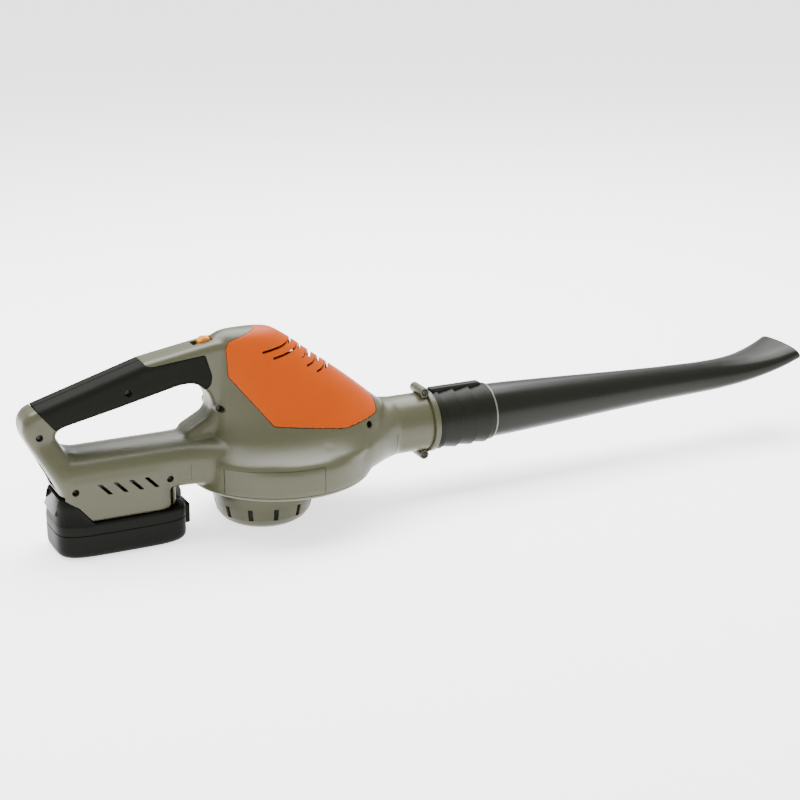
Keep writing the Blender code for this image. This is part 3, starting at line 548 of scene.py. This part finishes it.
for place_x, place_z, seat, reach in SCREW_PLACES.values():
    carved(housing,
           bar_stock("head_well", (place_x, -seat - 40, place_z), "Y", HEAD_WELL_RADIUS, 40.3, 40),
           bar_stock("shank_hole", (place_x, -seat - 1, place_z), "Y", SHANK_RADIUS, seat + 6.5, 24))

for side, name, node in ((1, "shell_far", "housing_left"), (-1, "shell_near", "housing_right")):
    low, high = sorted((side * PART_GAP, side * 120))
    half = carved(twin(housing, name), block("half", (-270, low, 10), (210, high, 230)),
                  how="INTERSECT")
    fitted(half, "housing", "housing", nylon, node)
bpy.data.objects.remove(housing, do_unlink=True)

# ==== Motor cover =====================================================================================
# One orange moulding over the motor, clipped into a window that crosses both halves of the housing.
# Five louvres are cut nearly level across its ridge; the third is short. Where they break through
# the ridge, each gap is milled at one slant.

orange = moulded("orange_abs", (0.36, 0.050, 0.0002), 0.36, grain=0.00002, grain_size=0.0005,
                 mottle=0.03, shine=0.1)
cover = carved(cover_blank, hollow)
worked(cover, "REMESH", mode="VOXEL", voxel_size=1.0 * MM)
worked(cover, "SMOOTH", factor=0.5, iterations=3)
LOUVRES = (
    ((-7.5, 178.8), (4, 180.2), (14, 181.6), (22, 183.4), (30, 188)),
    ((2.5, 172.3), (13, 173.8), (22, 175.4), (30, 177), (40, 182)),
    ((35, 168.2), (42, 170.4), (49, 174)),
    ((37.3, 160.6), (45, 161.4), (50, 162.9), (62, 168)),
    ((47.3, 153.8), (54, 154.6), (60, 156), (73, 162)),
)
LOUVRE_GAP = 1.25
# where each louvre breaks through the ridge, with the width of the gap
RIDGE_GAPS = ((24.3, -16.7, 182.4, 2.2), (36.5, -12.8, 174.8, 2.2), (42.6, -21.0, 167.6, 3.6),
              (53.1, -19.4, 161.2, 2.4), (60.8, -23.5, 153.6, 2.2))
slant = Matrix.Rotation(math.radians(-25.8), 4, "Z") @ Matrix.Rotation(math.radians(-18.2), 4, "X")
for path in LOUVRES:
    slit = [(u, v - LOUVRE_GAP) for u, v in path] + [(u, v + LOUVRE_GAP) for u, v in reversed(path)]
    carved(cover, cut_sheet("louvre", rounded(slit, 1.0, 3), -50, 50))
for gap_x, gap_y, gap_z, width in RIDGE_GAPS:
    gap = block("ridge_gap", (-width / 2, -6, 0), (width / 2, 60, 16))
    gap.data.transform(Matrix.Translation(Vector((gap_x, gap_y, gap_z)) * MM) @ slant)
    carved(cover, gap)
carved(cover, bar_stock("screw_clearance", (94.7, -60, 97.9), "Y", 3.6, 60, 40))
cover.name = "orange_cover"
fitted(cover, "housing", "cover", orange, "motor_cover")

# ==== Soft grips ======================================================================================
# Two halves of black elastomer, 2.3 mm thick, moulded into a recess round the handle.
# A fine pebble grain keeps the hand from slipping; the near half has a screw hole.

elastomer = moulded("grip_elastomer", (0.005, 0.0053, 0.0034), 0.62, grain=0.00008,
                    grain_size=0.0009, mottle=0.08, shine=0.07)
carved(grip_blank, grip_lining)
for side, name, node in ((1, "grip_far", "grip_left"), (-1, "grip_near", "grip_right")):
    low, high = sorted((side * PART_GAP, side * 50))
    half = carved(twin(grip_blank, name), block("half", (-270, low, 100), (0, high, 230)),
                  how="INTERSECT")
    worked(half, "REMESH", mode="VOXEL", voxel_size=0.9 * MM)
    worked(half, "SMOOTH", factor=0.5, iterations=2)
    if side < 0:
        carved(half, bar_stock("screw_hole", (-141, -40, 154), "Y", 3.6, 40, 40))
    fitted(half, "housing", "grip", elastomer, node)
bpy.data.objects.remove(grip_blank, do_unlink=True)

# ==== Screws ==========================================================================================
# Blackened steel pan-head screws, all driven from the near side into posts in the far half.
# Each head has a cross recess; one is made and the rest are copies set in their wells.

black_steel = moulded("blackened_steel", (0.045, 0.045, 0.045), 0.38, grain=0.00002,
                      grain_size=0.0003, mottle=0.1, metal=0.9)
pattern = turned("screw_pattern", rounded(((0, 0), (1.6, 0), (1.6, 18), (3.1, 18), (3.2, 19.2),
                                           (2.2, 20.3), (0, 20.5)), 0.25, 3), steps=32)
for low, high in (((-0.4, -1.9, 18.9), (0.4, 1.9, 22)), ((-1.9, -0.4, 18.9), (1.9, 0.4, 22))):
    carved(pattern, block("cross", low, high))
for name, (place_x, place_z, seat, reach) in SCREW_PLACES.items():
    screw = twin(pattern, name.replace("screw", "cross_screw"))
    screw.data.transform(Matrix.Translation(Vector((place_x, -seat + 18.1, place_z)) * MM)
                         @ Matrix.Rotation(math.radians(90), 4, "X")
                         @ Matrix.Rotation(place_x * 0.37, 4, "Z"))
    fitted(screw, "housing", "screw", black_steel, name)
bpy.data.objects.remove(pattern, do_unlink=True)

# ==== Intake basket ===================================================================================
# An olive nylon bowl clipped under the fan, closed by a flat base that the tool rests on.
# Twelve upright slots round its wall let the air in.

BASKET_PROFILE = rounded(((0, 2.6), (33, 2.6), (41, 6.8), (44.6, 12), (47.4, 21), (49, 31),
                          (49.4, 45.4), (52, 45.4), (51.8, 38), (51.5, 31), (50, 21), (47.2, 11),
                          (43, 5), (37, 1), (34, 0), (0, 0)), 1.2, 3)
basket = turned("intake_basket", BASKET_PROFILE, steps=144)
BASKET_SLOTS = 12
for k in range(BASKET_SLOTS):
    slot_cut = cut_sheet("slot", rounded(((40, 11), (56, 11), (56, 23.5), (40, 23.5)), 0.5, 2),
                         -2.4, 2.4)
    slot_cut.data.transform(Matrix.Rotation(math.radians(360 / BASKET_SLOTS * k - 6.5), 4, "Z"))
    carved(basket, slot_cut)
fitted(basket, "housing", "housing", nylon, "intake_grille")

# ==== Switch slider ===================================================================================
# A small amber thumb slide in the top of the handle; five ribs across its back give the thumb a hold.
# It runs 6 mm to the rear in a slot and carries two legs down to the switch.

amber = moulded("amber_acetal", (0.55, 0.18, 0.002), 0.30, grain=0.00002, grain_size=0.0004,
                mottle=0.04, coat=0.05, shine=0.2)
SLIDER_SIDE = ((-64, 185), (-60.5, 185), (-60.5, 172), (-57, 172), (-57, 185), (-52.6, 185),
               (-52.6, 194.0), (-53.6, 194.9), (-56, 194.5), (-57, 195.3), (-58, 194.6),
               (-59, 195.4), (-60, 194.3), (-61, 194.6), (-62, 193.0), (-63, 192.8), (-64, 191.4))
slider = cut_sheet("thumb_slide", SLIDER_SIDE, -5.2, 5.2)
edged(slider, 0.35, sharpest=40)
fitted(slider, "switch", "switch", amber, "switch_slider")

# ==== Collar ==========================================================================================
# A black nylon coupling pushed into the neck; its stepped rings let a wet glove turn it.
# A key rib runs along the top, and a pale ring at the front is painted highlight: it stands in for the
# light caught on the collar's lip.

black_nylon = moulded("black_nylon", (0.007, 0.0073, 0.0046), 0.42, grain=0.00004,
                      grain_size=0.0006, mottle=0.06, shine=0.11)
COLLAR_PROFILE = ((168, 27.2), (186.3, 27.2), (186.3, 30.0), (193, 32.0), (193.4, 29.8),
                  (211.4, 32.4), (211.8, 29.8), (229.4, 32.4), (229.8, 29.8), (245.8, 32.2),
                  (246.2, 29.8), (252.2, 30.1), (252.2, 28.9), (190, 28.9), (190, 25.6),
                  (168, 25.6))
collar = turned("stepped_collar", rounded([(r, x) for x, r in COLLAR_PROFILE], 0.25, 3), axis="X",
                height=TUBE_HEIGHT)
rib = cut_sheet("key_rib", rounded(((187, 103.4), (246, 103.4), (246, 107.6), (243, 108.5),
                                    (187, 108.5)), 0.8, 3), -4.5, 4.5)
edged(rib, 0.7)
carved(collar, rib, how="UNION")
carved(collar, bar_stock("rib_clear", (190.2, 0, TUBE_HEIGHT), "X", 28.9, 70, 96))
fitted(collar, "housing", "collar", black_nylon, "tube_collar")

# The pale ring is painted highlight: a light-coloured band set on the collar's front lip in place of the
# light that the lip catches.
lip_painted_highlight = moulded("lip_painted_highlight", (0.12, 0.125, 0.10), 0.30, grain=0.00001, grain_size=0.0004,
                   mottle=0.05)
LIP_HIGHLIGHT_PROFILE = ((28.9, 252.4), (30.3, 252.4), (30.3, 254), (28.9, 254))
lip = turned("collar_lip_painted_highlight", rounded(LIP_HIGHLIGHT_PROFILE, 0.3, 3), axis="X", height=TUBE_HEIGHT)
fitted(lip, "housing", "collar", lip_painted_highlight)

# ==== Blower tube =====================================================================================
# A long blow-moulded tube in black polypropylene: round where it enters the collar, tapering,
# then flattened and bent up into a fan-shaped mouth with a rolled lip. It pulls out of the collar.

tube_black = moulded("black_polypropylene", (0.007, 0.0073, 0.0046), 0.30, grain=0.00002,
                     grain_size=0.0007, mottle=0.08, shine=0.15)
TUBE_STATIONS = (
    (192.5, 74, 28.5, 28.5, 0), (256, 74, 28.4, 28.4, 0), (322, 74, 25.9, 25.9, 0),
    (374, 74, 23.4, 23.4, 0), (427, 74, 20.7, 20.7, 0), (481, 74, 18.5, 18.5, 0),
    (520, 74, 18.4, 17.3, 1), (545, 74.6, 19.6, 16.5, 3), (565, 76, 22, 15.4, 6),
    (585, 78.6, 25.2, 14.1, 11), (603, 82.5, 28.6, 12.6, 16), (621, 87.8, 32, 11, 22),
    (639, 95, 35, 9.5, 27),
)
TUBE_WALL = 1.8


def tube_rings(inset, fore=0.0, aft=0.0):
    """Rings across the tube, pulled in by an inset and run past either end."""
    rings = []
    rows = faired(TUBE_STATIONS, 6)
    rows[0][0] -= fore
    if aft:
        x, z, half, tall, lean = rows[-1]
        rows.append([x + aft * math.cos(math.radians(lean)), z + aft * math.sin(math.radians(lean)),
                     half + 0.8, tall, lean])
    for x, z, half, tall, lean in rows:
        tilt = math.radians(lean)
        rings.append([(x - w * math.sin(tilt), y, z + w * math.cos(tilt))
                      for y, w in squarish(half - inset, tall - inset, 2.0 + 0.5 * (lean / 27))])
    return rings


tube = drawn_through("tapered_tube", tube_rings(0.0))
edged(tube, 0.5, segments=2, sharpest=60)
carved(tube, drawn_through("tube_bore", tube_rings(TUBE_WALL, 5.0, 6.0)))
fitted(tube, "tube", "tube", tube_black, "blower_tube")

# ==== Battery =========================================================================================
# A slide-on pack in two black mouldings: a deep tray and a lid with raised shoulders behind the dock.
# A gloss release button fills the slanted back; a small block on the front meets the dock's clip.

pack_black = moulded("pack_black", (0.0045, 0.0047, 0.0033), 0.42, grain=0.00005, grain_size=0.0006,
                     mottle=0.07, shine=0.07)
gloss_black = moulded("gloss_black", (0.003, 0.003, 0.003), 0.20, grain=0.000005, grain_size=0.001,
                      mottle=0.1, shine=0.25)
PACK_REAR, PACK_FRONT, PACK_HALF, PACK_SPLIT = -219.0, -89.0, 37.0, 24.0
PACK_MID = (PACK_REAR + PACK_FRONT) / 2
PACK_REACH = (PACK_FRONT - PACK_REAR) / 2


def pack_rings(levels, count=128):
    """Level rings of the pack from rows of height and inset."""
    return [[(PACK_MID + a, b, z) for a, b in squarish(PACK_REACH - inset, PACK_HALF - inset, 4.5, count)]
            for z, inset in levels]


TRAY_LEVELS = ((0, 6.5), (0.5, 4.6), (1.6, 2.8), (3.2, 1.4), (5, 0.5), (7, 0.1), (9, 0),
               (PACK_SPLIT - 0.6, 0), (PACK_SPLIT - 0.15, 0.35))
tray = drawn_through("pack_tray", pack_rings(TRAY_LEVELS))
carved(tray, drawn_through("tray_room", pack_rings(((2.6, 4.2), (6, 2.6), (30, 2.4)), 64)))
fitted(tray, "battery", "battery", pack_black, "battery_case_lower")

lid = drawn_through("pack_lid", pack_rings(((PACK_SPLIT + 0.15, 0.35), (PACK_SPLIT + 0.6, 0),
                                            (32.5, 0), (33.8, 0.2), (34.9, 0.8), (35.4, 1.8))))
shoulder = cut_sheet("shoulder", rounded(((-184.4, 33), (-199.5, 52.0), (-210.6, 59.0),
                                          (-214.6, 59.2), (-220, 46), (-222, 33)), 2.0, 4), -50, 50)
carved(shoulder, drawn_through("shoulder_edge", pack_rings(((30, 0.3), (50, 0.8), (54, 1.4),
                                                            (58, 2.6), (62, 4.5)))),
       how="INTERSECT")
front_block = block("front_block", (-93, -12, 10), (-82, 12, 31))
edged(front_block, 2.0, segments=4)
carved(lid, shoulder, block("rail_stem", (-203, -18.9, 34), (-119.9, 18.9, 48)),
       block("rail_head", (-202.4, -23.9, 47.6), (-120.3, 23.9, 54.6)), front_block, how="UNION")
FACE_TOP, FACE_LOW, PRESS = (-213.2, 57.6), (-220.4, 43.4), (0.8915, -0.453)


def pressed(point, depth):
    """A point on the slanted back, moved along the button's travel."""
    return (point[0] + PRESS[0] * depth, point[1] + PRESS[1] * depth)


carved(lid, cut_sheet("button_pocket", (pressed(FACE_TOP, -8), pressed(FACE_TOP, 7), pressed(FACE_LOW, 7),
                                        pressed(FACE_LOW, -8)), -19.5, 19.5),
       drawn_through("lid_room", pack_rings(((20, 2.4), (32.6, 2.6)), 64)),
       block("blade_slot", (-136, 6.6, 45), (-110, 9.4, 60)),
       block("blade_slot", (-136, -9.4, 45), (-110, -6.6, 60)),
       block("block_relief", (-96, -20, 8), (-88.85, 20, 24.15)))
fitted(lid, "battery", "battery", pack_black, "battery_case_upper")

button = cut_sheet("release_button", rounded((pressed(FACE_TOP, 0.4), pressed(FACE_TOP, 4.2),
                                              pressed(FACE_LOW, 4.2),
                                              pressed(FACE_LOW, 0.4)), 0.5, 2), -19.1, 19.1)
edged(button, 0.6)
fitted(button, "button", "dock", gloss_black, "battery_button")

clip = cut_sheet("dock_clip", rounded(((-96.4, 36.6), (-91.0, 36.5), (-89.5, 39), (-89.6, 45),
                                       (-91.5, 49.5), (-96.4, 49.5)), 1.2, 4), -9, 9)
edged(clip, 1.0)
fitted(clip, "housing", "dock", gloss_black, "dock_front_clip")

# ==== Motor, fan, switch, leads and cells =============================================================
# The working parts stay as the frame has them and only get their finishes.
# They show through the slots, and when the tube or the battery is off.

bright_steel = moulded("bright_steel", (0.56, 0.56, 0.57), 0.26, grain=0.00001, grain_size=0.0003,
                       mottle=0.05, metal=1.0)
copper = moulded("copper", (0.72, 0.36, 0.20), 0.30, grain=0.00002, grain_size=0.0003, mottle=0.1,
                 metal=1.0)
brass = moulded("brass_plate", (0.72, 0.52, 0.24), 0.28, grain=0.00001, grain_size=0.0003,
                mottle=0.06, metal=1.0)
ferrite = moulded("ferrite", (0.05, 0.05, 0.055), 0.55, grain=0.00004, grain_size=0.0005,
                  mottle=0.15)
carbon = moulded("carbon", (0.03, 0.03, 0.03), 0.6, grain=0.00004, grain_size=0.0004, mottle=0.2)
solder_mask = moulded("solder_mask", (0.015, 0.11, 0.045), 0.35, grain=0.00002, grain_size=0.0015,
                      mottle=0.15)
black_sleeve = moulded("black_sleeve", (0.02, 0.02, 0.02), 0.5, grain=0.00003, grain_size=0.0006,
                       mottle=0.1)
red_sleeve = moulded("red_sleeve", (0.36, 0.02, 0.015), 0.5, grain=0.00003, grain_size=0.0006,
                     mottle=0.1)
cell_wrap = moulded("cell_wrap", (0.04, 0.20, 0.34), 0.32, grain=0.00002, grain_size=0.001,
                    mottle=0.06, coat=0.2)
INNER_FINISHES = (
    (nylon, ("motor_plate",)), (black_nylon, ("inlet_ring", "impeller", "switch_body", "terminal_block")),
    (gloss_black, ("dock_rail",)), (pack_black, ("motor_end_cap",)),
    (bright_steel, ("motor_can", "bearing_lower", "bearing_upper", "motor_shaft", "impeller_nut")),
    (copper, ("rotor_core", "commutator")), (brass, ("terminal_blade_left", "terminal_blade_right")),
    (ferrite, ("magnet_ring",)), (carbon, ("brush_front", "brush_rear")),
    (solder_mask, ("control_board", "battery_board")), (black_sleeve, ("switch_lead", "motor_lead")),
    (red_sleeve, ("power_lead",)), (cell_wrap, tuple("cell_%d" % k for k in range(1, 6))),
)
for finish, names in INNER_FINISHES:
    for name in names:
        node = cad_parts[name]
        node.data.materials.clear()
        node.data.materials.append(finish)

# ==== Last step =======================================================================================
# The box of the frame and the box of what shows are kept side by side; the selection is cleared and the
# scene updated.

bpy.ops.object.select_all(action="DESELECT")
bpy.context.view_layer.update()
